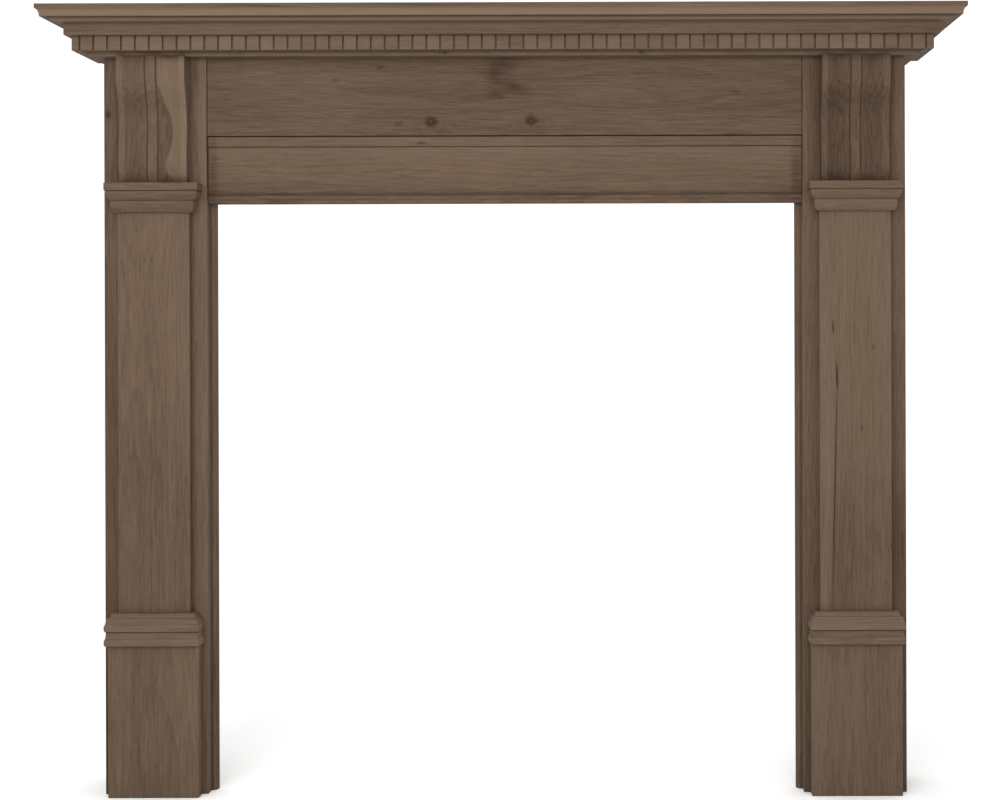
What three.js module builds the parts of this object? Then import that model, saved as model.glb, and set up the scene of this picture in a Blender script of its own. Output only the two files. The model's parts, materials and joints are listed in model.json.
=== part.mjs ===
// A stained oak mantelpiece: a stepped cornice with a kerfed dentil course, a frieze of two boards,
// and two pilaster legs with moulded capitals, plinths and fluted scroll corbels.
// Millimetres, +Z up. The front faces -Y, the wall is at +Y, left is -X, and the origin is on the
// floor under the middle of the shelf.
import * as THREE from "three";

// Driving dimensions of the whole
const SHELF_LENGTH = 1495;
const SHELF_DEPTH = 180;
const TOTAL_HEIGHT = 1292;
const OPENING_WIDTH = 965;
const OPENING_HEIGHT = 976;
const GLUE_LINE = 0.3;
const CURVE_STEPS = 4;

// Legs, measured from the middle of each leg and from the front of its backing board
const LEG_CENTRE = 577.5;
const BACKING = { width: 170, thickness: 20 };
const SIDE_THICKNESS = 20;
const SLIP = { width: 50, thickness: 14, height: 1060, roundWidth: 6, roundDepth: 10.5 };
const PILASTER = { width: 118, thickness: 13 };
const PLINTH = { width: 148.6, thickness: 22, height: 250.5 };

// Mouldings round the pilasters, each size out being measured from the pilaster's face
const LOWER_CAP = {
  height: 23.5, foot: 16.8, torus: 18.8, torusHeight: 12, bandFoot: 17, bandHeight: 9.5,
  band: 15.8, neck: 14,
};
const UPPER_CAP = {
  height: 29, foot: 16.8, torus: 18.8, torusHeight: 11.5, bandFoot: 17.3, bandHeight: 10, band: 15.2,
  lip: 14.2, neck: 9.5,
};
const CAPITAL = {
  bottom: 961, height: 48.5, foot: 4.2, bead: 9, beadHeight: 19, waist: 7.4, ovolo: 16.2, ovoloHeight: 15.4,
  quirk: 14.2, quirkHeight: 1.6, fillet: 17.5,
};

// Corbels: the face's distance out from the backing board, at shares of the height from foot to head
const CORBEL = {
  width: 112, edge: 9.5, rib: 14.8, ribCrown: 0.5, quirkWidth: 3, quirkDepth: 2.4, fluteDepth: 5.2,
  faces: [[0, 14], [0.07, 17], [0.2, 18.5], [0.42, 15], [0.6, 18.5], [0.8, 29.5], [0.93, 31], [1, 30]],
  rows: 18, fluteSteps: 6,
};

// Frieze, with each recess measured behind the front of the backing boards
const FRIEZE = { recess: 0.8, bottom: 1088.5 };
const LINTEL = {
  stripRecess: 3.8, stripHeight: 17.6, fieldRecess: 6.5, rollHeight: 24, rollDepth: 5,
  beadRecess: 5.5, beadHeight: 14.7, beadRound: 6, quirkHeight: 1.2,
};

// Cornice, with each setback measured behind the edge of the shelf
const SHELF = { thickness: 19.5, fillet: 7.6, coveSetback: 6 };
const SHELF_MOULD = {
  height: 5.4, filletHeight: 1.5, filletSetback: 13.5, stepSetback: 17.8, footSetback: 21.8,
};
const CORNICE_BOARD = { height: 25, setback: 35 };
const DENTIL = { height: 23.5, setback: 45.3, pitch: 22.6, kerf: 3.2, kerfDepth: 4 };
const BED = { height: 7.5, filletHeight: 1.6, filletSetback: 58.5, stepSetback: 63.6, footSetback: 68.4 };

// Planes and levels that follow from the sizes above
const SHELF_FRONT_Y = -SHELF_DEPTH / 2;
const WALL_Y = SHELF_DEPTH / 2;
const OUTER_X = LEG_CENTRE + BACKING.width / 2;
const INNER_X = LEG_CENTRE - BACKING.width / 2;
const OVERHANG = SHELF_LENGTH / 2 - OUTER_X;
const BACKING_Y = SHELF_FRONT_Y + OVERHANG;
const BOARD_BACK_Y = BACKING_Y + BACKING.thickness;
const SHELF_Z = TOTAL_HEIGHT - SHELF.thickness;
const CORNICE_BOARD_Z = SHELF_Z - CORNICE_BOARD.height;
const DENTIL_Z = CORNICE_BOARD_Z - DENTIL.height;
const BED_Z = DENTIL_Z - BED.height;
const CORBEL_Z = CAPITAL.bottom + CAPITAL.height;

const BOARD_OAK = new THREE.MeshStandardMaterial({ color: 0x6b5848, roughness: 0.6, metalness: 0 });
const CORNICE_OAK = new THREE.MeshStandardMaterial({ color: 0x655343, roughness: 0.6, metalness: 0 });
const MOULDING_OAK = new THREE.MeshStandardMaterial({ color: 0x705d4c, roughness: 0.55, metalness: 0 });

// Building blocks

function addMesh(parent, name, geometry, material) {
  const mesh = new THREE.Mesh(geometry, material);
  mesh.name = name;
  parent.add(mesh);
  return mesh;
}

// A square-edged board between two corners, with the glue line taken off its top.
function addBoard(parent, name, [x0, x1], [y0, y1], [z0, z1], material) {
  const geometry = new THREE.BoxGeometry(x1 - x0, y1 - y0, z1 - z0 - GLUE_LINE);
  const mesh = addMesh(parent, name, geometry, material);
  mesh.position.set((x0 + x1) / 2, (y0 + y1) / 2, (z0 + z1 - GLUE_LINE) / 2);
  return mesh;
}

// A box divided into columns and rows, each of whose corners is put at place(column, atBack, row).
function shapedBox(columns, rows, place) {
  const geometry = new THREE.BoxGeometry(1, 1, 1, columns, 1, rows);
  const corner = geometry.getAttribute("position");
  for (let i = 0; i < corner.count; i++) {
    const column = Math.round((corner.getX(i) + 0.5) * columns);
    const row = Math.round((corner.getZ(i) + 0.5) * rows);
    const atBack = corner.getY(i) > 0;
    corner.setXYZ(i, ...place(column, atBack, row));
  }
  geometry.computeVertexNormals();
  return geometry;
}

// A straight length of moulding along X. The profile's x points out to the front and its y points up.
// A mitre of 1 cuts that end at 45 degrees, longer at the front, and 0 cuts it square.
function mouldingRun(profile, length, leftMitre, rightMitre) {
  const options = { depth: 1, bevelEnabled: false, curveSegments: CURVE_STEPS };
  const geometry = new THREE.ExtrudeGeometry(profile, options);
  const corner = geometry.getAttribute("position");
  for (let i = 0; i < corner.count; i++) {
    const out = corner.getX(i);
    const atRight = corner.getZ(i) < 0.5;
    const along = atRight ? length / 2 + rightMitre * out : -length / 2 - leftMitre * out;
    corner.setXYZ(i, along, -out, corner.getY(i));
  }
  geometry.computeVertexNormals();
  return geometry;
}

// Three lengths of one moulding mitred round the front and both sides of an upright block.
function addMitredMoulding(parent, name, profile, { halfWidth, frontY, backY, z }, material) {
  const sideLength = backY - frontY - GLUE_LINE;
  const sideY = frontY + sideLength / 2;
  const front = addMesh(parent, `${name}_front`, mouldingRun(profile, 2 * halfWidth, 1, 1), material);
  front.position.set(0, frontY - GLUE_LINE, z);
  const left = addMesh(parent, `${name}_left`, mouldingRun(profile, sideLength, 0, 1), material);
  left.rotation.z = -Math.PI / 2;
  left.position.set(-halfWidth - GLUE_LINE, sideY, z);
  const right = addMesh(parent, `${name}_right`, mouldingRun(profile, sideLength, 1, 0), material);
  right.rotation.z = Math.PI / 2;
  right.position.set(halfWidth + GLUE_LINE, sideY, z);
}

// Profiles: x is the distance out from the face that carries the moulding, y the height above its foot

// A rounded foot: out from the face at foot, round to the full width and back in to shoulder.
function drawTorus(profile, { foot, torus, torusHeight }, shoulder) {
  profile.moveTo(0, 0);
  profile.lineTo(foot, 0);
  profile.quadraticCurveTo(torus, 0, torus, torusHeight / 2);
  profile.quadraticCurveTo(torus, torusHeight, shoulder, torusHeight);
}

function lowerCapProfile() {
  const { height, torusHeight, bandFoot, bandHeight, band, neck } = LOWER_CAP;
  const top = height - GLUE_LINE;
  const profile = new THREE.Shape();
  drawTorus(profile, LOWER_CAP, bandFoot);
  profile.lineTo(band, torusHeight + bandHeight);
  profile.lineTo(neck, top);
  profile.lineTo(0, top);
  return profile;
}

function upperCapProfile() {
  const { height, torusHeight, bandFoot, bandHeight, band, lip, neck } = UPPER_CAP;
  const top = height - GLUE_LINE;
  const coveFoot = torusHeight + bandHeight;
  const profile = new THREE.Shape();
  drawTorus(profile, UPPER_CAP, bandFoot);
  profile.lineTo(band, coveFoot);
  profile.lineTo(lip, coveFoot);
  profile.quadraticCurveTo(neck, coveFoot, neck, top);
  profile.lineTo(0, top);
  return profile;
}

function capitalProfile() {
  const { height, foot, bead, beadHeight, waist, ovolo, ovoloHeight, quirk, quirkHeight, fillet } = CAPITAL;
  const ovoloTop = beadHeight + ovoloHeight;
  const top = height - GLUE_LINE;
  const profile = new THREE.Shape();
  profile.moveTo(0, 0);
  profile.lineTo(foot, 0);
  profile.quadraticCurveTo(bead, beadHeight / 4, bead, beadHeight * 0.6);
  profile.quadraticCurveTo(bead, beadHeight, waist, beadHeight);
  profile.quadraticCurveTo(ovolo, beadHeight + ovoloHeight / 3, ovolo, ovoloTop);
  profile.lineTo(quirk, ovoloTop);
  profile.lineTo(quirk, ovoloTop + quirkHeight);
  profile.lineTo(fillet, ovoloTop + quirkHeight);
  profile.lineTo(fillet, top);
  profile.lineTo(0, top);
  return profile;
}

// A fillet over a step and an ovolo, planted on a face that stands `base` behind the shelf's edge.
function filletAndOvolo({ height, filletSetback, filletHeight, stepSetback, footSetback }, base) {
  const top = height - GLUE_LINE;
  const filletBottom = height - filletHeight;
  const step = base - stepSetback;
  const profile = new THREE.Shape();
  profile.moveTo(0, 0);
  profile.lineTo(base - footSetback, 0);
  profile.quadraticCurveTo(step, 0, step, filletBottom);
  profile.lineTo(base - filletSetback, filletBottom);
  profile.lineTo(base - filletSetback, top);
  profile.lineTo(0, top);
  return profile;
}

// The lintel's section: a strip, a sunk field that rolls back towards its foot, a quirk and a bead.
function lintelProfile() {
  const { stripRecess, stripHeight, fieldRecess, rollHeight, rollDepth } = LINTEL;
  const { beadRecess, beadHeight, beadRound, quirkHeight } = LINTEL;
  const height = FRIEZE.bottom - OPENING_HEIGHT;
  const fieldTop = height - stripHeight;
  const deepest = fieldRecess + rollDepth;
  const rollFoot = beadHeight + quirkHeight;
  const profile = new THREE.Shape();
  profile.moveTo(-BACKING.thickness, 0);
  profile.lineTo(-beadRecess - beadRound, 0);
  profile.quadraticCurveTo(-beadRecess, 0, -beadRecess, beadRound);
  profile.lineTo(-beadRecess, beadHeight - beadRound);
  profile.quadraticCurveTo(-beadRecess, beadHeight, -beadRecess - beadRound, beadHeight);
  profile.lineTo(-deepest, beadHeight);
  profile.lineTo(-deepest, rollFoot);
  profile.quadraticCurveTo(-fieldRecess, rollFoot + rollHeight / 3, -fieldRecess, rollFoot + rollHeight);
  profile.lineTo(-fieldRecess, fieldTop);
  profile.lineTo(-stripRecess, fieldTop);
  profile.lineTo(-stripRecess, height - GLUE_LINE);
  profile.lineTo(-BACKING.thickness, height - GLUE_LINE);
  return profile;
}

// Cornice

// Levels of the shelf's moulded edge from its underside up, as [height, setback]: a cove, then a fillet.
function shelfEdge() {
  const coveHeight = SHELF.thickness - SHELF.fillet;
  const coveSteps = 2 * CURVE_STEPS;
  const edge = [];
  for (let i = 0; i <= coveSteps; i++) {
    const turn = (i / coveSteps) * (Math.PI / 2);
    edge.push([coveHeight * Math.sin(turn), SHELF.coveSetback * Math.cos(turn)]);
  }
  edge.push([SHELF.thickness, 0]);
  return edge;
}

function addShelf(parent) {
  const edge = shelfEdge();
  const geometry = shapedBox(1, edge.length - 1, (column, atBack, row) => {
    const [height, setback] = edge[row];
    const x = (column === 0 ? -1 : 1) * (SHELF_LENGTH / 2 - setback);
    const y = atBack ? WALL_Y : SHELF_FRONT_Y + setback;
    return [x, y, SHELF_Z + height];
  });
  addMesh(parent, "shelf", geometry, CORNICE_OAK);
}

// The plan of a dentil strip along X: a straight back at y = 0 and kerfs sawn into its front face.
// The first kerf's middle is firstKerf from the face's left end.
function dentilPlan(length, depth, [leftMitre, rightMitre], firstKerf, kerfCount) {
  const faceLeft = -length / 2 - leftMitre * depth;
  const plan = new THREE.Shape();
  plan.moveTo(length / 2, 0);
  plan.lineTo(-length / 2, 0);
  plan.lineTo(faceLeft, -depth);
  for (let k = 0; k < kerfCount; k++) {
    const kerfLeft = faceLeft + firstKerf + k * DENTIL.pitch - DENTIL.kerf / 2;
    const kerfRight = kerfLeft + DENTIL.kerf;
    plan.lineTo(kerfLeft, -depth);
    plan.lineTo(kerfLeft, -depth + DENTIL.kerfDepth);
    plan.lineTo(kerfRight, -depth + DENTIL.kerfDepth);
    plan.lineTo(kerfRight, -depth);
  }
  plan.lineTo(length / 2 + rightMitre * depth, -depth);
  return plan;
}

function addDentils(parent) {
  const depth = OVERHANG - DENTIL.setback;
  const addStrip = (name, length, mitres, firstKerf, kerfCount) => {
    const plan = dentilPlan(length, depth, mitres, firstKerf, kerfCount);
    const options = { depth: DENTIL.height - GLUE_LINE, bevelEnabled: false };
    return addMesh(parent, name, new THREE.ExtrudeGeometry(plan, options), CORNICE_OAK);
  };

  const frontLength = 2 * OUTER_X;
  const frontFace = frontLength + 2 * depth;
  const frontKerfs = Math.floor(frontFace / DENTIL.pitch);
  const cornerBlock = (frontFace - (frontKerfs - 1) * DENTIL.pitch) / 2;
  const front = addStrip("dentil_strip_front", frontLength, [1, 1], cornerBlock, frontKerfs);
  front.position.set(0, BACKING_Y - GLUE_LINE, DENTIL_Z);

  const sideLength = WALL_Y - BACKING_Y;
  const sideFace = sideLength + depth;
  const sideKerfs = Math.floor((sideFace - cornerBlock) / DENTIL.pitch) + 1;
  const wallBlock = sideFace - cornerBlock - (sideKerfs - 1) * DENTIL.pitch;
  const sideY = (WALL_Y + BACKING_Y) / 2;
  const left = addStrip("dentil_strip_left", sideLength, [0, 1], wallBlock, sideKerfs);
  left.rotation.z = -Math.PI / 2;
  left.position.set(-OUTER_X - GLUE_LINE, sideY, DENTIL_Z);
  const right = addStrip("dentil_strip_right", sideLength, [1, 0], cornerBlock, sideKerfs);
  right.rotation.z = Math.PI / 2;
  right.position.set(OUTER_X + GLUE_LINE, sideY, DENTIL_Z);
}

function addCornice(parent) {
  addShelf(parent);
  const boardOut = OVERHANG - CORNICE_BOARD.setback;
  const boardHalf = OUTER_X + boardOut;
  const boardFront = BACKING_Y - boardOut;
  const boardLevels = [CORNICE_BOARD_Z, SHELF_Z];
  const boardDepths = [boardFront, WALL_Y];
  addBoard(parent, "cornice_board", [-boardHalf, boardHalf], boardDepths, boardLevels, CORNICE_OAK);

  const shelfMould = filletAndOvolo(SHELF_MOULD, CORNICE_BOARD.setback);
  const mouldZ = SHELF_Z - SHELF_MOULD.height;
  const underShelf = { halfWidth: boardHalf, frontY: boardFront, backY: WALL_Y, z: mouldZ };
  addMitredMoulding(parent, "shelf_moulding", shelfMould, underShelf, CORNICE_OAK);
  addDentils(parent);
  const bedMould = filletAndOvolo(BED, OVERHANG);
  const underDentils = { halfWidth: OUTER_X, frontY: BACKING_Y, backY: WALL_Y, z: BED_Z };
  addMitredMoulding(parent, "bed_moulding", bedMould, underDentils, CORNICE_OAK);
}

// Frieze

function addFrieze(parent) {
  const halfLength = INNER_X - GLUE_LINE;
  const depths = [BACKING_Y + FRIEZE.recess, BOARD_BACK_Y];
  const levels = [FRIEZE.bottom, CORNICE_BOARD_Z];
  addBoard(parent, "frieze_board", [-halfLength, halfLength], depths, levels, BOARD_OAK);
  const lintel = mouldingRun(lintelProfile(), 2 * halfLength, 0, 0);
  addMesh(parent, "lintel_board", lintel, BOARD_OAK).position.set(0, BACKING_Y, OPENING_HEIGHT);
}

// Legs

// The plan of the slip on the right of the opening, from its inner edge, with a rounded front corner.
function slipPlan() {
  const { width, thickness, roundWidth, roundDepth } = SLIP;
  const plan = new THREE.Shape();
  plan.moveTo(width, 0);
  plan.lineTo(width, thickness);
  plan.lineTo(0, thickness);
  plan.lineTo(0, roundDepth);
  plan.absellipse(roundWidth, roundDepth, roundWidth, roundDepth, Math.PI, 1.5 * Math.PI, false);
  return plan;
}

// Places across the right half of a corbel's face, as [distance from the middle, depth below the face]:
// a crowned rib, a quirk, a broad flute and a flat edge.
function corbelHalfSection() {
  const ribEdge = CORBEL.rib / 2;
  const fluteStart = ribEdge + CORBEL.quirkWidth;
  const fluteWidth = CORBEL.width / 2 - CORBEL.edge - fluteStart;
  const section = [[0, 0], [ribEdge, CORBEL.ribCrown], [ribEdge + CORBEL.quirkWidth / 2, CORBEL.quirkDepth]];
  for (let i = 0; i <= CORBEL.fluteSteps; i++) {
    const share = i / CORBEL.fluteSteps;
    const lead = CORBEL.ribCrown * (1 - share);
    section.push([fluteStart + share * fluteWidth, lead + CORBEL.fluteDepth * Math.sin(share * Math.PI)]);
  }
  section.push([CORBEL.width / 2, 0]);
  return section;
}

function corbelGeometry() {
  const half = corbelHalfSection();
  const mirrored = half.slice(1).reverse().map(([across, sunk]) => [-across, sunk]);
  const section = [...mirrored, ...half];
  const height = BED_Z - CORBEL_Z - GLUE_LINE;
  const marks = CORBEL.faces.map(([share, out]) => new THREE.Vector2(share * height, out));
  const rows = new THREE.SplineCurve(marks).getPoints(CORBEL.rows);
  return shapedBox(section.length - 1, CORBEL.rows, (column, atBack, row) => {
    const [across, sunk] = section[column];
    const { x: up, y: out } = rows[row];
    return [across, atBack ? -GLUE_LINE : sunk - out, up];
  });
}

function addLeg(parent, side) {
  const name = side < 0 ? "left" : "right";
  const leg = new THREE.Group();
  leg.position.set(side * LEG_CENTRE, BACKING_Y, 0);
  parent.add(leg);

  const halfBacking = BACKING.width / 2;
  const fullHeight = [0, CORNICE_BOARD_Z];
  const backingDepth = [0, BACKING.thickness];
  addBoard(leg, `${name}_backing_board`, [-halfBacking, halfBacking], backingDepth, fullHeight, BOARD_OAK);
  const sideEdges = [side * halfBacking, side * (halfBacking - SIDE_THICKNESS)].sort((a, b) => a - b);
  const sideDepth = [BACKING.thickness + GLUE_LINE, WALL_Y - BACKING_Y];
  addBoard(leg, `${name}_side_board`, sideEdges, sideDepth, fullHeight, BOARD_OAK);

  const slipOptions = { depth: SLIP.height, bevelEnabled: false, curveSegments: CURVE_STEPS };
  const slipGeometry = new THREE.ExtrudeGeometry(slipPlan(), slipOptions);
  const slip = addMesh(leg, `${name}_inner_slip`, slipGeometry, BOARD_OAK);
  slip.scale.x = side;
  slip.position.set(side * (OPENING_WIDTH / 2 - LEG_CENTRE), BACKING.thickness + GLUE_LINE, 0);

  const halfPilaster = PILASTER.width / 2;
  const pilasterDepth = [-PILASTER.thickness, -GLUE_LINE];
  const pilasterLevels = [PLINTH.height, CORBEL_Z];
  addBoard(leg, `${name}_pilaster`, [-halfPilaster, halfPilaster], pilasterDepth, pilasterLevels, BOARD_OAK);
  const halfPlinth = PLINTH.width / 2;
  const plinthDepth = [-PLINTH.thickness, -GLUE_LINE];
  const plinthLevels = [0, PLINTH.height];
  addBoard(leg, `${name}_plinth_block`, [-halfPlinth, halfPlinth], plinthDepth, plinthLevels, BOARD_OAK);

  const addRound = (piece, profile, z) => {
    const round = { halfWidth: halfPilaster, frontY: -PILASTER.thickness, backY: 0, z };
    addMitredMoulding(leg, `${name}_${piece}`, profile, round, MOULDING_OAK);
  };
  addRound("plinth_cap_lower", lowerCapProfile(), PLINTH.height);
  addRound("plinth_cap_upper", upperCapProfile(), PLINTH.height + LOWER_CAP.height);
  addRound("capital", capitalProfile(), CAPITAL.bottom);
  addMesh(leg, `${name}_corbel`, corbelGeometry(), MOULDING_OAK).position.z = CORBEL_Z;
}

const mantelpiece = new THREE.Group();
addCornice(mantelpiece);
addFrieze(mantelpiece);
addLeg(mantelpiece, -1);
addLeg(mantelpiece, 1);

export default mantelpiece;
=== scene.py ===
import json
import math
import random

import bmesh
import bpy
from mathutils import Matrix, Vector


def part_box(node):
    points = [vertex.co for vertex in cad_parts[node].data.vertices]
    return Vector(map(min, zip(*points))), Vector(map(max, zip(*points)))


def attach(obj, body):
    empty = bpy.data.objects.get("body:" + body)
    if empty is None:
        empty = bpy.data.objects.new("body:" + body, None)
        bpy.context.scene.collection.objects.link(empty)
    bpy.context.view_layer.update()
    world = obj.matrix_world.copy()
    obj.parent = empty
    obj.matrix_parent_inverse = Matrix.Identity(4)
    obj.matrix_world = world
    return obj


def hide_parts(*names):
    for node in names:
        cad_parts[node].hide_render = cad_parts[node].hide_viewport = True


# A stained oak mantelpiece. Every solid of the frame gets a finer piece of wood in its place, with eased
# arrises, smooth mouldings and a grain that runs along its own length.
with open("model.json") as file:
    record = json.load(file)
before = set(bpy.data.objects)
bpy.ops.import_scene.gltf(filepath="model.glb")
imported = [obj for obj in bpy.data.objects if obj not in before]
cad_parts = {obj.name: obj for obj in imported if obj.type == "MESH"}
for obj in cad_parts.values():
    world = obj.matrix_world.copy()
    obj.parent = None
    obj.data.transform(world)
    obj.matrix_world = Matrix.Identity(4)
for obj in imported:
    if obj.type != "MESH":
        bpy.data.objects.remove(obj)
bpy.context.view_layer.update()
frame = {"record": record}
SLOT_OF = {part["node"]: part["material_slot"] for part in frame["record"]["subparts"]}
SHELF_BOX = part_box("shelf")
CORBEL_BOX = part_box("left_corbel")
SIDES = (("left", -1), ("right", 1))
MM = 0.001

# Mouldings in millimetres: sizes out from the face that carries them, heights from their foot
LOWER_CAP = dict(
    height=23.2, foot=16.8, torus=18.8, torus_height=12.0, band_foot=17.0, band_height=9.5, band=15.8,
    neck=14.0,
)
UPPER_CAP = dict(
    height=28.7, foot=16.8, torus=18.8, torus_height=11.5, band_foot=17.3, band_height=10.0, band=15.2,
    lip=14.2, neck=9.5,
)
CAPITAL = dict(
    height=48.2, foot=4.2, bead=9.0, bead_height=19.0, waist=7.4, ovolo=16.2, ovolo_height=15.4,
    quirk=14.2, quirk_height=1.6, fillet=17.5,
)
SHELF_MOULD = dict(height=5.1, fillet_height=1.2, fillet=21.5, step=17.2, foot=13.2)
BED_MOULD = dict(height=7.2, fillet_height=1.3, fillet=26.5, step=21.4, foot=16.6)
SHELF = dict(fillet=7.6, cove=6.0)
# In the lintel, shade is the height of the painted shadow line under the strip.
LINTEL = dict(
    thickness=20.0, height=112.2, groove=2.0, strip=3.8, strip_height=17.3, field=6.5, roll_height=24.0,
    roll_depth=5.0, bead=5.5, bead_height=14.7, bead_round=6.0, quirk_height=1.2, shade=2.2,
)
DENTIL = dict(pitch=22.6, kerf=3.2, kerf_depth=4.0)
SLIP = dict(round_width=6.0, round_depth=10.5)

# The corbel's section, and its side profile: shares of the height and how far the face stands out there
CORBEL = dict(
    width=112.0, edge=9.5, rib=14.8, rib_crown=0.5, quirk_width=3.0, quirk_depth=2.4, flute_depth=5.2,
    ease=0.8, gap=0.3,
    faces=[(0, 14), (0.07, 17), (0.2, 18.5), (0.42, 15), (0.6, 18.5), (0.8, 29.5), (0.93, 31), (1, 30)],
)

# How finely the meshes are cut, with eases and narrow faces in millimetres
BOARD_EASE = 0.9
MOULD_EASE = 0.5
NARROW_FACE = 0.9
CORNER_TURN = math.radians(28)
SHARP_TURN = math.radians(22)
CURVE_STEPS = 12
CORBEL_ROWS = 110
RIB_STEPS = 6
QUIRK_STEPS = 8
FLUTE_STEPS = 24

# The photograph's view: a level camera with a shifted lens, a little right of the middle
CAMERA_PLACE = (0.162, -2.59, 0.797)
CAMERA_SENSOR = 36
CAMERA_LENS = 56.26
CAMERA_SHIFT = (-0.103, -0.089)
CAMERA_ROLL = math.radians(0.165)

# A soft studio: one large lamp in front, an even white sky and a pale floor
LAMP_PLACE = Vector((-0.5, -2.5, 1.6))
LAMP_TARGET = Vector((0, 0, 0.9))
LAMP_SIZE = (2.6, 1.2)
LAMP_POWER = 45
SKY_COLOUR = (1, 1, 1, 1)
SKY_STRENGTH = 1.12
FLOOR_REACH = 12.0
FLOOR_COLOURS = ((0.9, 0.9, 0.895, 1), (0.93, 0.93, 0.925, 1))

# Wood colours, linear, from the darkest pores to the palest sapwood, and where some lie on the scale of tone
# DARK also colours the painted shade in corners and creases.
DARK = (0.037, 0.0222, 0.0132, 1)
DEEP = (0.0695, 0.0435, 0.0282, 1)
MIDDLE = (0.101, 0.067, 0.0442, 1)
PALE = (0.1385, 0.0955, 0.0645, 1)
SAPWOOD = (0.158, 0.111, 0.0735, 1)
KNOT = (0.028, 0.015, 0.0075, 1)
TONE_SCALE = ((0.05, DARK), (0.32, DEEP), (0.55, MIDDLE), (0.95, PALE))

# How often each noise changes in a metre along the fibres, across them and into the log
WANDER_STRETCH = (3, 18, 18)
TAPER_STRETCH = (1.6, 3, 3)
GRAIN_STRETCH = (20, 430, 430)
BAND_STRETCH = (2, 48, 48)
PORE_STRETCH = (50, 640, 640)
PATCH_STRETCH = (2.6, 11, 11)
WEAR_AND_EDGE_LIGHT_STRETCH = (30, 60, 60)

# How much each of them changes the tone of plain wood
PLAIN_TONE = 0.6
PATCH_WEIGHT = 0.36
BAND_WEIGHT = 0.2
GRAIN_WEIGHT = 0.5
RING_WEIGHT = -0.08
PORE_WEIGHT = -0.12

# Growth in metres: the rings, how far the fibres sway and the log tapers, and how far a knot swells the rings
RING_WIDTH = 0.0058
FIBRE_SWAY = (0, 0.012, 0.012)
LOG_TAPER = 0.06
KNOT_SWELL = 0.024
KNOT_SHARE = 0.85
WOBBLE = (0.012, 0, 0.01)
WOBBLE_SCALE = 90.0

# How much darker or paler than the rest some pieces are: mostly how they took the stain, while the shelf
# moulding is painted paler against the shade under the shelf
PIECE_TONES = {
    "shelf": -0.15,
    # Painted light: the shelf moulding is lifted against the shade under the shelf.
    "shelf_moulding_front": 0.2,
    "cornice_board": -0.03,
    "dentil_strip_front": 0.14,
    "bed_moulding_front": 0.01,
    "frieze_board": -0.16,
    "left_backing_board": -0.07,
    "right_backing_board": -0.1,
    "left_inner_slip": -0.13,
    "right_inner_slip": -0.18,
    "left_plinth_block": 0.03,
    "right_plinth_block": 0.06,
    "left_capital_front": -0.1,
    "left_corbel": -0.17,
    "right_corbel": -0.29,
}
CHANCE_TONE = 0.05
DENTIL_TONES = (-0.12, 0.1)
COVE_TONE = 0.33
COVE_SAP = 0.5
SHELF_SAP = 0.1
# The lintel's strip tone, a painted shadow line under the strip, and painted shade darkening the field
# towards its foot.
LINTEL_TONES_AND_SHADE = dict(strip=-0.07, shadow=-0.5, foot=-0.24, rise=0.26)
# The legs' own tone, and the painted shade that darkens them towards the floor.
LEG_TONE = 0.05
LEG_SHADE = 0.17
LEFT_LEG_X = -0.5775
LEFT_BACKING_INNER = 0.12
LEFT_BACKING_OUTER = -0.09

# The corbels' painted light and shade (darker flutes, ends and hollow, paler ridges and scroll), and where
# the ends, the scroll and the hollow under it lie, as shares of the height
CORBEL_PAINTED_SHADING = dict(ridge=0.07, rib=0.01, flute=-0.1, head=-0.22, foot=-0.16, scroll=0.05, hollow=-0.09)
CORBEL_HEAD = 0.94
CORBEL_FOOT = 0.08
SCROLL_SPAN = (0.83, 0.14)
HOLLOW_SPAN = (0.64, 0.16)

# A wandering tongue of sapwood on the left corbel: its edge across, in millimetres, at shares of the height
SAP_EDGE = [
    (0, 33), (0.08, 22), (0.16, 19), (0.27, 27), (0.39, 31), (0.52, 28.5), (0.65, 17.5), (0.78, 11), (1, 10),
]
SAP_STRENGTH = 0.5
# The sapwood fades out at the head and foot, so the painted shade at the corbel's ends shows.
SAP_FADE = dict(edge=2.5, head=0.05, foot=0.07)

# Knots and checks on the boards, in millimetres: middle x and z, half sizes along x and z, lean, strength
BOARD_MARKS = [
    (-121, 1111, 15, 12, 0.0, 1.0),
    (43, 1113, 14, 11, 0.0, 1.0),
    (-206, 1200, 9, 5, 0.0, 0.4),
    (-282, 1179, 8, 5, 0.0, 0.4),
    (-176, 1108, 10, 6, 0.0, 0.5),
    (-138, 1076, 12, 3, 0.0, 0.6),
    (372, 1088, 10, 4, 0.0, 0.5),
    (-656, 1125, 6, 10, 0.0, 0.8),
    (-581, 882, 2, 8, 0.0, 0.5),
    (540.5, 769, 2.4, 17, -0.05, 0.8),
    (547, 686, 2.6, 36, -0.03, 0.95),
    (542.8, 492, 2.1, 270, 0.024, 0.85),
    (588, 604, 3, 6, 0.0, 0.6),
    (607, 736, 3, 6, 0.0, 0.5),
]
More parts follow.
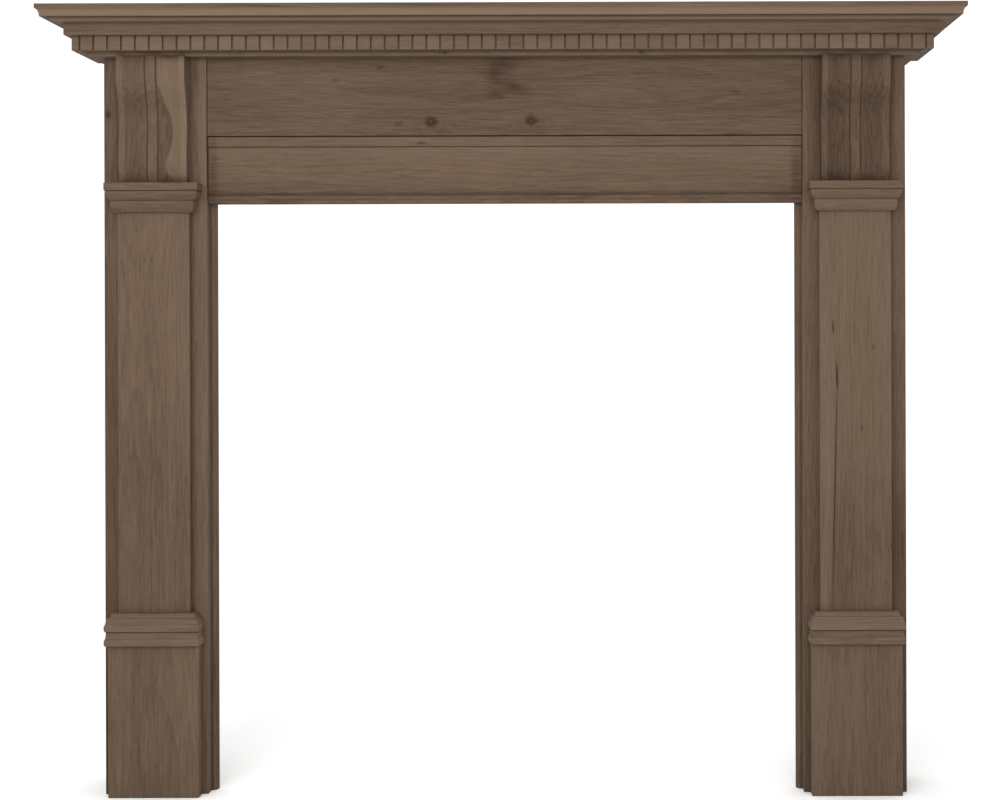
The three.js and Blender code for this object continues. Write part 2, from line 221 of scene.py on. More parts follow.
# Soft stains, pale streaks and dark joints on the boards, with painted shadow beside the corbels and at the
# lintel's ends, in the same form, with the change of tone last
BOARD_STAINS_AND_SHADE = [
    (-5, 1207, 34, 22, 0.0, -0.3),
    (-18, 1186, 20, 22, 0.0, -0.2),
    (14, 1168, 40, 15, 0.3, -0.32),
    (-12, 1155, 24, 11, 0.0, -0.24),
    (-6, 1182, 80, 50, 0.0, -0.07),
    (529, 520, 15, 340, 0.01, 0.16),
    (590, 400, 90, 170, 0.0, -0.2),
    (-577, 560, 90, 260, 0.0, -0.08),
    # Painted shadow: soft dark bands on the backing boards on both sides of each corbel.
    (-521, 1115, 24, 190, 0.0, -0.3),
    (-634, 1115, 18, 190, 0.0, -0.2),
    (521, 1115, 26, 190, 0.0, -0.3),
    (634, 1115, 20, 190, 0.0, -0.25),
    (-662, 120, 10, 200, 0.0, -0.3),
    (-492.4, 1160, 1.9, 260, 0.0, -0.55),
    (492.4, 1160, 1.9, 260, 0.0, -0.55),
    # Painted shadow on the lintel's field at both ends, beside the backing boards.
    (-484, 1035, 12, 75, 0.0, -0.25),
    (483, 1035, 14, 75, 0.0, -0.28),
]
CORNICE_MARKS = [
    (227, 1221, 7, 3, 0.0, 0.8),
    (-96, 1221, 7, 3, 0.0, 0.6),
]
# Streaks on the shelf, and painted light along the top of the fascia, in the same form as the board stains
CORNICE_STAINS_AND_LIGHT = [
    # Painted light: a pale band along the top of the fascia, against the shade under the shelf moulding.
    (0, 1264, 1600, 8, 0.0, 0.15),
    (-385, 1287, 80, 2.6, 0.03, -0.35),
    (-250, 1284, 110, 2.2, 0.02, 0.25),
    (-95, 1288, 120, 2.4, 0.01, -0.3),
    (-170, 1278, 140, 2.6, -0.01, 0.25),
    (150, 1280, 160, 2.2, 0.01, -0.25),
    (330, 1286, 130, 2.2, -0.01, 0.2),
    (430, 1277, 150, 2.2, 0.01, 0.2),
    (560, 1283, 120, 2.4, 0.0, -0.25),
    (-560, 1281, 130, 2.4, -0.02, -0.2),
]
# Marks no wider than this are straight: they take no wobble
CHECK_WIDTH = 3


# Materials

def add_node(tree, kind, sockets=None, **settings):
    made = tree.nodes.new(kind)
    for key, value in settings.items():
        setattr(made, key, value)
    for key, value in (sockets or {}).items():
        if isinstance(value, bpy.types.NodeSocket):
            tree.links.new(value, made.inputs[key])
        else:
            made.inputs[key].default_value = value
    return made


def attribute(tree, name, output="Fac"):
    return add_node(tree, "ShaderNodeAttribute", attribute_name=name).outputs[output]


def calc(tree, operation, *values):
    return add_node(tree, "ShaderNodeMath", dict(enumerate(values)), operation=operation).outputs[0]


def vector(tree, operation, *values):
    return add_node(tree, "ShaderNodeVectorMath", dict(enumerate(values)), operation=operation).outputs[0]


def noise(tree, place, stretch, detail=2.0, roughness=0.5):
    stretched = vector(tree, "MULTIPLY", place, stretch)
    sockets = {"Vector": stretched, "Scale": 1.0, "Detail": detail, "Roughness": roughness}
    return add_node(tree, "ShaderNodeTexNoise", sockets).outputs[0]


def remap(tree, value, low, high, to_low, to_high):
    sockets = {"Value": value, "From Min": low, "From Max": high, "To Min": to_low, "To Max": to_high}
    return add_node(tree, "ShaderNodeMapRange", sockets, clamp=True).outputs[0]


def blend(tree, share, first, second):
    sockets = {0: share, 6: first, 7: second}
    return add_node(tree, "ShaderNodeMix", sockets, data_type="RGBA").outputs[2]


def vary(tree, light, value, weight):
    """Light, changed by a noise that swings about a half."""
    return calc(tree, "MULTIPLY_ADD", calc(tree, "SUBTRACT", value, 0.5), weight, light)


def spot(tree, place, x, z, half_x, half_z, lean, falloff):
    """1 at the middle of a mark on the front and 0 at its rim, whatever the depth."""
    sockets = {
        "Vector": place,
        "Location": (x * MM, 0, z * MM),
        "Rotation": (0, lean, 0),
        "Scale": (half_x * MM, 1000, half_z * MM),
    }
    moved = add_node(tree, "ShaderNodeMapping", sockets, vector_type="TEXTURE").outputs[0]
    return add_node(tree, "ShaderNodeTexGradient", {0: moved}, gradient_type=falloff).outputs[1]


def log_growth(tree, wood):
    """The fibres and the distance from the log's heart: the log wanders, so both do."""
    wander = calc(tree, "SUBTRACT", noise(tree, wood, WANDER_STRETCH), 0.5)
    sway = add_node(tree, "ShaderNodeCombineXYZ", {1: wander, 2: wander}).outputs[0]
    fibres = vector(tree, "ADD", wood, vector(tree, "MULTIPLY", sway, FIBRE_SWAY))
    flat = vector(tree, "MULTIPLY", fibres, (0, 1, 1))
    radius = add_node(tree, "ShaderNodeVectorMath", {0: flat}, operation="LENGTH").outputs["Value"]
    taper = calc(tree, "MULTIPLY", noise(tree, wood, TAPER_STRETCH, 1.0), LOG_TAPER)
    return fibres, calc(tree, "ADD", radius, taper)


def wobbled(tree, place):
    """Places pushed about by a few millimetres, for marks with an uneven rim."""
    sockets = {"Vector": place, "Scale": WOBBLE_SCALE, "Detail": 2.0}
    push = add_node(tree, "ShaderNodeTexNoise", sockets).outputs["Color"]
    push = vector(tree, "SUBTRACT", push, (0.5, 0.5, 0.5))
    return vector(tree, "ADD", place, vector(tree, "MULTIPLY", push, WOBBLE))


def add_marks(tree, marks, place, rough_place, growth):
    """The growth, swollen round each knot or check, and how far the marks darken the wood."""
    dark = None
    for x, z, half_x, half_z, lean, strength in marks:
        wide, tall = (3.6, 2.4) if half_x >= half_z else (2.4, 3.6)
        swell = spot(tree, place, x, z, wide * half_x, tall * half_z, lean, "QUADRATIC_SPHERE")
        growth = calc(tree, "MULTIPLY_ADD", swell, KNOT_SWELL * strength ** 2, growth)
        ground = place if min(half_x, half_z) <= CHECK_WIDTH else rough_place
        heart = spot(tree, ground, x, z, half_x, half_z, lean, "SPHERICAL")
        core = remap(tree, heart, 0.05, 0.7, 0.0, strength)
        if strength == 1:
            core = calc(tree, "SUBTRACT", core, remap(tree, heart, 0.72, 0.88, 0.0, 0.7))
        halo = calc(tree, "MULTIPLY_ADD", swell, 0.25 * strength, core)
        dark = halo if dark is None else calc(tree, "MAXIMUM", dark, halo)
    return growth, dark


def oak(name, marks, stains_and_painted_light):
    """Oak whose grain follows the mesh's "wood" places: along the fibres, across, and into the log."""
    material = bpy.data.materials.new(name)
    material.use_nodes = True
    tree = material.node_tree
    shader = tree.nodes["Principled BSDF"]
    place = add_node(tree, "ShaderNodeTexCoord").outputs["Object"]
    wood = attribute(tree, "wood", "Vector")
    fibres, growth = log_growth(tree, wood)
    rough_place = wobbled(tree, place)
    growth, knots = add_marks(tree, marks, place, rough_place, growth)
    rings = calc(tree, "POWER", calc(tree, "FRACT", calc(tree, "DIVIDE", growth, RING_WIDTH)), 2.0)

    grain = noise(tree, fibres, GRAIN_STRETCH, 2.0, 0.6)
    bands = noise(tree, fibres, BAND_STRETCH)
    pores = remap(tree, noise(tree, fibres, PORE_STRETCH, 1.0), 0.56, 0.72, 0, 1)
    patches = noise(tree, wood, PATCH_STRETCH)
    light = vary(tree, PLAIN_TONE, patches, PATCH_WEIGHT)
    light = vary(tree, light, bands, BAND_WEIGHT)
    light = vary(tree, light, grain, GRAIN_WEIGHT)
    light = calc(tree, "MULTIPLY_ADD", rings, RING_WEIGHT, light)
    light = calc(tree, "MULTIPLY_ADD", pores, PORE_WEIGHT, light)
    # The tone attribute holds each piece's own tone, and painted light and shade on the legs, lintel, corbels
    # and shelf moulding.
    light = calc(tree, "ADD", light, attribute(tree, "tone"))
    # Stains, painted shade and painted light shift the tone in soft patches.
    for x, z, half_x, half_z, lean, change in stains_and_painted_light:
        ground = place if min(half_x, half_z) <= CHECK_WIDTH else rough_place
        soft = spot(tree, ground, x, z, half_x, half_z, lean, "SPHERICAL")
        light = calc(tree, "MULTIPLY_ADD", soft, change, light)

    ramp = add_node(tree, "ShaderNodeValToRGB", {0: light})
    stops = ramp.color_ramp.elements
    stops[0].position, stops[0].color = TONE_SCALE[0]
    stops[1].position, stops[1].color = TONE_SCALE[-1]
    for position, colour in TONE_SCALE[1:-1]:
        stops.new(position).color = colour
    colour = blend(tree, attribute(tree, "sap"), ramp.outputs[0], SAPWOOD)
    # Narrow faces on the arrises turn paler: partly wear, partly a painted highlight where edges catch the
    # light.
    rubbed_and_edge_lit = remap(tree, noise(tree, wood, WEAR_AND_EDGE_LIGHT_STRETCH), 0.4, 0.7, 0.05, 0.5)
    colour = blend(tree, calc(tree, "MULTIPLY", attribute(tree, "wear_and_edge_light"), rubbed_and_edge_lit), colour, PALE)
    if knots is not None:
        colour = blend(tree, calc(tree, "MULTIPLY", knots, KNOT_SHARE), colour, KNOT)
    # Painted shade: the colour darkens towards DARK in corners and creases, as ambient occlusion finds them.
    corners = add_node(tree, "ShaderNodeAmbientOcclusion", {"Distance": 0.01}, samples=6).outputs["AO"]
    painted_corner_shade = remap(tree, corners, 0.15, 0.8, 0.16, 0.0)
    colour = blend(tree, painted_corner_shade, colour, DARK)

    relief = calc(tree, "MULTIPLY_ADD", pores, -0.7, calc(tree, "MULTIPLY", grain, 0.5))
    bump = add_node(tree, "ShaderNodeBump", {"Strength": 0.22, "Distance": 0.0006, "Height": relief})
    tree.links.new(colour, shader.inputs["Base Color"])
    tree.links.new(remap(tree, grain, 0.3, 0.7, 0.82, 0.7), shader.inputs["Roughness"])
    tree.links.new(bump.outputs[0], shader.inputs["Normal"])
    shader.inputs["Specular IOR Level"].default_value = 0.12
    return material


MATERIALS = {
    "oak_boards": oak("oak_boards", BOARD_MARKS, BOARD_STAINS_AND_SHADE),
    "oak_cornice": oak("oak_cornice", CORNICE_MARKS, CORNICE_STAINS_AND_LIGHT),
    "oak_mouldings": oak("oak_mouldings", [], []),
}


# Meshes

# For a grain along each axis: the axes along the fibres, across them and into the log
AXES = {"x": (0, 2, 1), "y": (1, 2, 0), "z": (2, 0, 1)}


def set_values(mesh, name, values):
    mesh.attributes.new(name, "FLOAT", "POINT").data.foreach_set("value", values)


def finish_piece(node, mesh, grain, tones=None, sap=None, worn_and_edge_lit=True):
    """Gives a mesh its grain and looks, and puts it in the place of a node of the frame."""
    chance = random.Random(node)
    along = chance.uniform(0, 60)
    across = chance.uniform(-0.05, 0.05)
    inward = chance.choice((-1, 1)) * chance.uniform(0.03, 0.1)
    piece_tone = PIECE_TONES.get(node, 0.0) + chance.uniform(-CHANCE_TONE, CHANCE_TONE)
    moves = list(zip(AXES[grain], (along, across, inward)))
    low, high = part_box(node)
    middle = (low + high) / 2
    places = [vertex.co.copy() for vertex in mesh.vertices]
    wood = [co[axis] - middle[axis] + move for co in places for axis, move in moves]
    # Narrow faces are the eased arrises, which are paled by wear and a painted edge highlight.
    narrow = []
    for polygon in mesh.polygons:
        corners = [places[v] for v in polygon.vertices]
        shortest = min((a - b).length for a, b in zip(corners, corners[1:] + corners[:1]))
        narrow.append(float(worn_and_edge_lit and len(corners) < 5 and shortest < NARROW_FACE * MM))
    mesh.attributes.new("wood", "FLOAT_VECTOR", "POINT").data.foreach_set("vector", wood)
    set_values(mesh, "tone", [piece_tone + (tones(co) if tones else 0) for co in places])
    set_values(mesh, "sap", [sap(co) if sap else 0.0 for co in places])
    mesh.attributes.new("wear_and_edge_light", "FLOAT", "FACE").data.foreach_set("value", narrow)
    mesh.shade_smooth()
    mesh.set_sharp_from_angle(angle=SHARP_TURN)
    piece = bpy.data.objects.new(node + "_oak", mesh)
    bpy.context.scene.collection.objects.link(piece)
    weighted = piece.modifiers.new("even_faces", "WEIGHTED_NORMAL")
    weighted.keep_sharp = True
    mesh.materials.append(MATERIALS[SLOT_OF[node]])
    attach(piece, "root")
    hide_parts(node)


def mesh_from(node, vertices, faces):
    mesh = bpy.data.meshes.new(node + "_oak")
    mesh.from_pydata(vertices, [], faces)
    work = bmesh.new()
    work.from_mesh(mesh)
    bmesh.ops.recalc_face_normals(work, faces=work.faces)
    work.to_mesh(mesh)
    work.free()
    return mesh


def prism(node, start, end):
    """A closed mesh between two outlines with the same number of points."""
    count = len(start)
    faces = [(i, (i + 1) % count, count + (i + 1) % count, count + i) for i in range(count)]
    faces += [tuple(range(count)), tuple(range(count, 2 * count))]
    return mesh_from(node, start + end, faces)


def leg_tone_and_shade(co):
    """The legs are painted a little darker towards the floor, as shade."""
    return LEG_TONE - LEG_SHADE * max(1 - co.z, 0)


def left_backing_tone(co):
    """The left backing board is paler towards the opening."""
    return leg_tone_and_shade(co) + (LEFT_BACKING_INNER if co.x > LEFT_LEG_X else LEFT_BACKING_OUTER)


def add_board(node, grain, tones=None):
    """A square board with eased arrises, as large as its node."""
    low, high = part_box(node)
    mesh = bpy.data.meshes.new(node + "_oak")
    work = bmesh.new()
    bmesh.ops.create_cube(work, size=1.0)
    for vertex in work.verts:
        vertex.co = [low[i] + (vertex.co[i] + 0.5) * (high[i] - low[i]) for i in range(3)]
    bmesh.ops.bevel(
        work, geom=work.edges[:], offset=BOARD_EASE * MM, segments=2, profile=0.5, affect="EDGES",
    )
    work.to_mesh(mesh)
    work.free()
    finish_piece(node, mesh, grain, tones)


class Pen:
    """Draws an open profile: points out from a face and up from a foot."""

    def __init__(self, out, up):
        self.points = [Vector((out, up))]

    def line(self, out, up):
        self.points.append(Vector((out, up)))
        return self

    def curve(self, via, end):
        start, via, end = self.points[-1].copy(), Vector(via), Vector(end)
        for i in range(1, CURVE_STEPS + 1):
            t = i / CURVE_STEPS
            self.points.append((1 - t) ** 2 * start + 2 * t * (1 - t) * via + t * t * end)
        return self

    def eased(self, size):
        """The points, with each outward corner rounded off."""
        points = self.points
        result = [points[0]]
        for before, here, after in zip(points, points[1:], points[2:]):
            inward, onward = here - before, after - here
            outward_corner = inward.cross(onward) > 0
            if not outward_corner or inward.angle(onward) < CORNER_TURN:
                result.append(here)
                continue
            cut = min(size, inward.length / 2.2, onward.length / 2.2)
            first = here - inward.normalized() * cut
            last = here + onward.normalized() * cut
            result += [first, (first + 2 * here + last) / 4, last]
        result.append(points[-1])
        return result


def sweep(node, profile, start, end, grain, tones=None):
    """A length of a profile between two ends, each of which places a point (out, up)."""
    mesh = prism(node, [start(*point) for point in profile], [end(*point) for point in profile])
    finish_piece(node, mesh, grain, tones)


def add_mitred(name, pen):
    """A moulding in three lengths, mitred round the front and both sides of what carries it."""
    profile = [point * MM for point in pen.eased(MOULD_EASE)]
    reach = max(point.x for point in profile)
    low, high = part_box(name + "_front")
    sweep(
        name + "_front", profile,
        lambda out, up: (low.x + reach - out, high.y - out, low.z + up),
        lambda out, up: (high.x - reach + out, high.y - out, low.z + up), "x",
    )
    for side, sign in SIDES:
        low_s, high_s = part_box(f"{name}_{side}")
        face = high_s.x if sign < 0 else low_s.x
        sweep(
            f"{name}_{side}", profile,
            lambda out, up: (face + sign * out, low_s.y + reach - out, low_s.z + up),
            lambda out, up: (face + sign * out, high_s.y, low_s.z + up), "y",
        )


def torus_foot(foot, torus, torus_height, shoulder):
    pen = Pen(0, 0).line(foot, 0)
    pen.curve((torus, 0), (torus, torus_height / 2))
    return pen.curve((torus, torus_height), (shoulder, torus_height))


def lower_cap():
    c = LOWER_CAP
    pen = torus_foot(c["foot"], c["torus"], c["torus_height"], c["band_foot"])
    pen.line(c["band"], c["torus_height"] + c["band_height"])
    return pen.line(c["neck"], c["height"]).line(0, c["height"])


def upper_cap():
    c = UPPER_CAP
    cove_foot = c["torus_height"] + c["band_height"]
    pen = torus_foot(c["foot"], c["torus"], c["torus_height"], c["band_foot"])
    pen.line(c["band"], cove_foot).line(c["lip"], cove_foot)
    return pen.curve((c["neck"], cove_foot), (c["neck"], c["height"])).line(0, c["height"])


def capital():
    c = CAPITAL
    bead_height = c["bead_height"]
    ovolo_top = bead_height + c["ovolo_height"]
    quirk_top = ovolo_top + c["quirk_height"]
    pen = Pen(0, 0).line(c["foot"], 0)
    pen.curve((c["bead"], bead_height / 4), (c["bead"], bead_height * 0.6))
    pen.curve((c["bead"], bead_height), (c["waist"], bead_height))
    pen.curve((c["ovolo"], bead_height + c["ovolo_height"] / 3), (c["ovolo"], ovolo_top))
    pen.line(c["quirk"], ovolo_top).line(c["quirk"], quirk_top)
    return pen.line(c["fillet"], quirk_top).line(c["fillet"], c["height"]).line(0, c["height"])


def fillet_and_ovolo(c):
    fillet_foot = c["height"] - c["fillet_height"]
    pen = Pen(0, 0).line(c["foot"], 0)
    pen.curve((c["step"], 0), (c["step"], fillet_foot))
    return pen.line(c["fillet"], fillet_foot).line(c["fillet"], c["height"]).line(0, c["height"])


def add_lintel():
    """The board over the opening: a strip, a sunk field that rolls in at its foot, and a bead."""
    c = LINTEL
    back, bead, deepest = -c["thickness"], -c["bead"], -c["field"] - c["roll_depth"]
    bead_top = c["bead_height"]
    roll_foot = bead_top + c["quirk_height"]
    field_top = c["height"] - c["strip_height"]
    pen = Pen(back, 0).line(bead - c["bead_round"], 0)
    pen.curve((bead, 0), (bead, c["bead_round"]))
    pen.line(bead, bead_top - c["bead_round"])
    pen.curve((bead, bead_top), (bead - c["bead_round"], bead_top))
    pen.line(deepest, bead_top).line(deepest, roll_foot)
    pen.curve((-c["field"], roll_foot + c["roll_height"] / 3), (-c["field"], roll_foot + c["roll_height"]))
    pen.line(-c["field"], field_top - c["shade"])
    pen.line(-c["field"], field_top).line(-c["strip"], field_top)
    pen.line(-c["strip"], c["height"] - c["groove"]).line(-c["strip"] - 1.5 * c["groove"], c["height"])
    pen.line(back, c["height"])
    low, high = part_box("lintel_board")
    face = high.y - c["thickness"] * MM
    profile = [point * MM for point in pen.eased(MOULD_EASE)]

    # Painted shade: a dark line where the field meets the strip, and a field darker towards its foot; the
    # strip is a little darker.
    def tones(co):
        up = (co.z - low.z) / MM
        if abs(up - field_top) < 0.01:
            return LINTEL_TONES_AND_SHADE["shadow"]
        if up > field_top:
            return LINTEL_TONES_AND_SHADE["strip"]
        share = min(max(up - bead_top, 0) / (field_top - bead_top), 1)
        return LINTEL_TONES_AND_SHADE["foot"] + LINTEL_TONES_AND_SHADE["rise"] * share ** 0.5

    sweep(
        "lintel_board", profile,
        lambda out, up: (low.x, face - out, low.z + up),
        lambda out, up: (high.x, face - out, low.z + up), "x", tones,
    )


def in_cove(co):
    low, high = SHELF_BOX
    share = (co.z - low.z) / (high.z - low.z)
    return 0.05 < share < 0.62 and co.y < high.y - 0.02


def shelf_tone(co):
    return COVE_TONE if in_cove(co) else 0.0


def shelf_sap(co):
    """A band of paler sapwood along the cove."""
    return COVE_SAP if in_cove(co) else SHELF_SAP


def add_shelf():
    """The shelf, with a fillet and a cove along its front and both ends."""
    low, high = SHELF_BOX
    thickness = (high.z - low.z) / MM
    cove_top = thickness - SHELF["fillet"]
    pen = Pen(-SHELF["cove"], 0)
    for i in range(1, CURVE_STEPS + 1):
        turn = i / CURVE_STEPS * math.pi / 2
        pen.line(-SHELF["cove"] * math.cos(turn), cove_top * math.sin(turn))
    pen.line(0, thickness).line(-SHELF["cove"], thickness)
    vertices = []
    for out, up in [point * MM for point in pen.eased(BOARD_EASE)]:
        left, right, front, z = low.x - out, high.x + out, low.y - out, low.z + up
        vertices += [(left, front, z), (right, front, z), (right, high.y, z), (left, high.y, z)]
    rows = len(vertices) // 4
    faces = [(0, 1, 2, 3), tuple(range(4 * rows - 4, 4 * rows))]
    for row in range(rows - 1):
        for i in range(4):
            j = (i + 1) % 4
            faces.append((4 * row + i, 4 * row + j, 4 * row + 4 + j, 4 * row + 4 + i))
    finish_piece("shelf", mesh_from("shelf", vertices, faces), "x", shelf_tone, shelf_sap)


def extrude_plan(node, plan, grain, tones):
    """A plan, in metres, drawn up through the height of its node."""
    low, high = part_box(node)
    mesh = prism(node, [(x, y, low.z) for x, y in plan], [(x, y, high.z) for x, y in plan])
    finish_piece(node, mesh, grain, tones)


def add_slip(node, sign):
    """The strip beside the opening, rounded on the corner that shows. sign is 1 on the right."""
    low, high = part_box(node)
    inner, outer = (low.x, high.x) if sign > 0 else (high.x, low.x)
    plan = [(outer, low.y), (outer, high.y), (inner, high.y)]
    for i in range(CURVE_STEPS + 1):
        turn = i / CURVE_STEPS * math.pi / 2
        x = inner + sign * SLIP["round_width"] * MM * (1 - math.cos(turn))
        plan.append((x, low.y + SLIP["round_depth"] * MM * (1 - math.sin(turn))))
    extrude_plan(node, plan, "z", leg_tone_and_shade)


def dentil_face(length, first_kerf, kerfs, end_mitre, depth):
    """The sawn face of a dentil strip, as points (along, out), from its mitred start to its end."""
    pen = Pen(depth, 0).line(0, depth)
    for k in range(kerfs):
        left = first_kerf + k * DENTIL["pitch"] - DENTIL["kerf"] / 2
        right = left + DENTIL["kerf"]
        floor = depth - DENTIL["kerf_depth"]
        pen.line(left, depth).line(left, floor).line(right, floor).line(right, depth)
    pen.line(length, depth).line(length - end_mitre * depth, 0)
    pen.points.reverse()
    return pen.eased(MOULD_EASE)


def block_tone(side, first_kerf, along):
    """Each dentil takes the stain a little differently."""
    block = math.floor((along / MM - first_kerf) / DENTIL["pitch"])
    return random.Random(f"{side}{block}").uniform(*DENTIL_TONES)


def add_dentils():
    low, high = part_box("dentil_strip_front")
    depth = (high.y - low.y) / MM
    length = (high.x - low.x) / MM
    kerfs = math.floor(length / DENTIL["pitch"])
    corner = (length - (kerfs - 1) * DENTIL["pitch"]) / 2
    face = dentil_face(length, corner, kerfs, 1, depth)
    plan = [(low.x + p.x * MM, high.y - p.y * MM) for p in reversed(face)]
    extrude_plan("dentil_strip_front", plan, "x", lambda co: block_tone("front", corner, co.x - low.x))
    for side, sign in SIDES:
        node = "dentil_strip_" + side
        low_s, high_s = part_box(node)
        length = (high_s.y - low_s.y) / MM
        kerfs = math.floor((length - corner) / DENTIL["pitch"]) + 1
        back = high_s.x if sign < 0 else low_s.x
        face = dentil_face(length, corner, kerfs, 0, depth)
        plan = [(back + sign * p.y * MM, low_s.y + p.x * MM) for p in face]
        extrude_plan(node, plan, "y", lambda co: block_tone(side, corner, co.y - low_s.y))


def catmull(points, share):
    """A point on the smooth curve through points, at a share of its way."""
    last = len(points) - 1
    place = share * last
    i = min(int(place), last - 1)
    t = place - i
    p0, p1, p2, p3 = (points[min(max(k, 0), last)] for k in (i - 1, i, i + 1, i + 2))
    result = []
    for a, b, c, d in zip(p0, p1, p2, p3):
        lead, trail = (c - a) * 0.5, (d - b) * 0.5
        cubic = (2 * b - 2 * c + lead + trail) * t ** 3
        square = (3 * c - 3 * b - 2 * lead - trail) * t ** 2
        result.append(cubic + square + lead * t + b)
    return result


def corbel_half():
    """Places across the right half of a corbel's face, as (distance from the middle, depth below it)."""
    c = CORBEL
    rib = c["rib"] / 2
    flute = rib + c["quirk_width"]
    edge = c["width"] / 2 - c["edge"]
    section = []
    for i in range(RIB_STEPS + 1):
        share = i / RIB_STEPS
        section.append((rib * share, c["rib_crown"] * share ** 2))
    for i in range(1, QUIRK_STEPS):
        share = i / QUIRK_STEPS
        sunk = c["quirk_depth"] * math.sin(math.pi * share) ** 0.8
        section.append((rib + c["quirk_width"] * share, c["rib_crown"] + sunk))
    for i in range(FLUTE_STEPS + 1):
        share = i / FLUTE_STEPS
        lead = c["rib_crown"] * (1 - share)
        section.append((flute + (edge - flute) * share, lead + c["flute_depth"] * math.sin(math.pi * share)))
    side, ease = c["width"] / 2, c["ease"]
    section += [(side - ease, 0.0), (side - 0.25, 0.25), (side, ease)]
    return section


def bulge(share, middle, reach):
    """1 at the middle, falling smoothly to 0 at its reach on either side."""
    away = min(abs(share - middle) / reach, 1)
    return 0.5 + 0.5 * math.cos(math.pi * away)


def corbel_painted_shading(low, high):
    """Corbels are painted darker in the flutes, under the scroll and at both ends, and paler along the ridges
    and on the scroll: painted shade and light.
    """
    c, shade = CORBEL, CORBEL_PAINTED_SHADING
    flute = c["rib"] / 2 + c["quirk_width"]
    edge = c["width"] / 2 - c["edge"]

    def tones(co):
        across = abs(co.x - (low.x + high.x) / 2) / MM
        share = (co.z - low.z) / (high.z - low.z)
        along = shade["head"] * max(share - CORBEL_HEAD, 0) / (1 - CORBEL_HEAD)
        along += shade["foot"] * max(CORBEL_FOOT - share, 0) / CORBEL_FOOT
        along += shade["scroll"] * bulge(share, *SCROLL_SPAN) + shade["hollow"] * bulge(share, *HOLLOW_SPAN)
        if across > edge:
            return shade["ridge"] + along
        if across < flute:
            return shade["rib"] + along
        return along + shade["flute"] * math.sin(math.pi * (across - flute) / (edge - flute)) ** 0.6

    return tones


def corbel_sap(co):
    low, high = CORBEL_BOX
    share = (co.z - low.z) / (high.z - low.z)
    across = (co.x - (low.x + high.x) / 2) / MM
    for (s0, a0), (s1, a1) in zip(SAP_EDGE, SAP_EDGE[1:]):
        if s0 <= share <= s1:
            beyond = across - (a0 + (a1 - a0) * (share - s0) / (s1 - s0))
            ends = min((1 - share) / SAP_FADE["head"], share / SAP_FADE["foot"])
            return SAP_STRENGTH * min(max(beyond / SAP_FADE["edge"], 0), 1, ends)
    return 0


def add_corbel(node, sap=None):
    """A fluted scroll: the section across its face follows the side profile up."""
    low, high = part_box(node)
    half = corbel_half()
    section = [(-across, sunk) for across, sunk in reversed(half[1:])] + half
    height = high.z - low.z
    middle = (low.x + high.x) / 2
    face_y = high.y + CORBEL["gap"] * MM
    profile = [(share * height, out * MM) for share, out in CORBEL["faces"]]
    columns = len(section)
    vertices = []
    for row in range(CORBEL_ROWS + 1):
        up, out = catmull(profile, row / CORBEL_ROWS)
        for across, sunk in section:
            vertices.append((middle + across * MM, face_y - out + sunk * MM, low.z + up))
    faces = []
    for row in range(CORBEL_ROWS):
        for i in range(columns - 1):
            a = row * columns + i
            faces.append((a, a + 1, a + columns + 1, a + columns))
    left_back, right_back = [], []
    for row in range(CORBEL_ROWS + 1):
        z = vertices[row * columns][2]
        left_back.append(len(vertices))
        vertices.append((low.x, high.y, z))
        right_back.append(len(vertices))
        vertices.append((high.x, high.y, z))
    for row in range(CORBEL_ROWS):
        first, last = row * columns, row * columns + columns - 1
        faces.append((left_back[row], first, first + columns, left_back[row + 1]))
        faces.append((last, right_back[row], right_back[row + 1], last + columns))
        faces.append((right_back[row], left_back[row], left_back[row + 1], right_back[row + 1]))
    for row in (0, CORBEL_ROWS):
        across = tuple(row * columns + i for i in range(columns))
        faces.append(across + (right_back[row], left_back[row]))
    finish_piece(node, mesh_from(node, vertices, faces), "z", corbel_painted_shading(low, high), sap, worn_and_edge_lit=False)


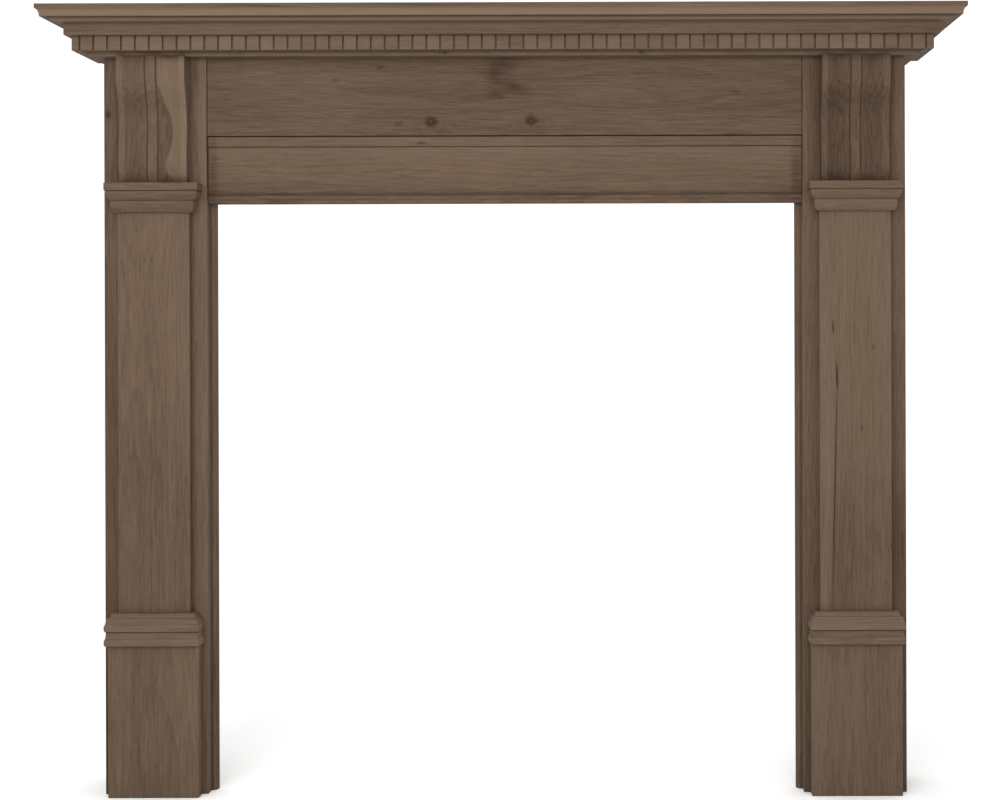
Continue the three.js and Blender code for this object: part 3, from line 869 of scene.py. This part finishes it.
add_shelf()
add_mitred("shelf_moulding", fillet_and_ovolo(SHELF_MOULD))
add_board("cornice_board", "x")
add_dentils()
add_mitred("bed_moulding", fillet_and_ovolo(BED_MOULD))
add_board("frieze_board", "x")
add_lintel()
for side, sign in SIDES:
    add_board(side + "_backing_board", "z", left_backing_tone if sign < 0 else leg_tone_and_shade)
    add_board(side + "_side_board", "z", leg_tone_and_shade)
    add_slip(side + "_inner_slip", sign)
    add_board(side + "_pilaster", "z", leg_tone_and_shade)
    add_board(side + "_plinth_block", "z", leg_tone_and_shade)
    add_mitred(side + "_plinth_cap_lower", lower_cap())
    add_mitred(side + "_plinth_cap_upper", upper_cap())
    add_mitred(side + "_capital", capital())
    add_corbel(side + "_corbel", corbel_sap if sign < 0 else None)


# Floor, light and camera

def add_floor():
    mesh = bpy.data.meshes.new("floor")
    corners = [(x * FLOOR_REACH, y * FLOOR_REACH, 0) for x, y in ((-1, -1), (1, -1), (1, 1), (-1, 1))]
    mesh.from_pydata(corners, [], [(0, 1, 2, 3)])
    material = bpy.data.materials.new("pale_floor")
    material.use_nodes = True
    tree = material.node_tree
    shader = tree.nodes["Principled BSDF"]
    place = add_node(tree, "ShaderNodeTexCoord").outputs["Object"]
    mottle = noise(tree, place, (3, 3, 3), 3.0)
    tree.links.new(blend(tree, mottle, *FLOOR_COLOURS), shader.inputs["Base Color"])
    shader.inputs["Roughness"].default_value = 0.9
    shader.inputs["Specular IOR Level"].default_value = 0.1
    mesh.materials.append(material)
    floor = bpy.data.objects.new("floor", mesh)
    bpy.context.scene.collection.objects.link(floor)


def add_lamp():
    light = bpy.data.lights.new("key", "AREA")
    light.shape = "RECTANGLE"
    light.size, light.size_y = LAMP_SIZE
    light.energy = LAMP_POWER
    lamp = bpy.data.objects.new("key", light)
    lamp.location = LAMP_PLACE
    lamp.rotation_euler = (LAMP_TARGET - LAMP_PLACE).to_track_quat("-Z", "Y").to_euler()
    bpy.context.scene.collection.objects.link(lamp)


def add_sky():
    world = bpy.data.worlds.new("studio")
    world.use_nodes = True
    background = world.node_tree.nodes["Background"]
    background.inputs["Color"].default_value = SKY_COLOUR
    background.inputs["Strength"].default_value = SKY_STRENGTH
    bpy.context.scene.world = world


def add_camera():
    camera = bpy.data.cameras.new("camera")
    camera.sensor_width = CAMERA_SENSOR
    camera.lens = CAMERA_LENS
    camera.shift_x, camera.shift_y = CAMERA_SHIFT
    holder = bpy.data.objects.new("camera", camera)
    holder.location = CAMERA_PLACE
    holder.rotation_euler = (math.pi / 2, CAMERA_ROLL, 0)
    bpy.context.scene.collection.objects.link(holder)
    bpy.context.scene.camera = holder


add_floor()
add_lamp()
add_sky()
add_camera()
bpy.context.scene.view_settings.view_transform = "Standard"
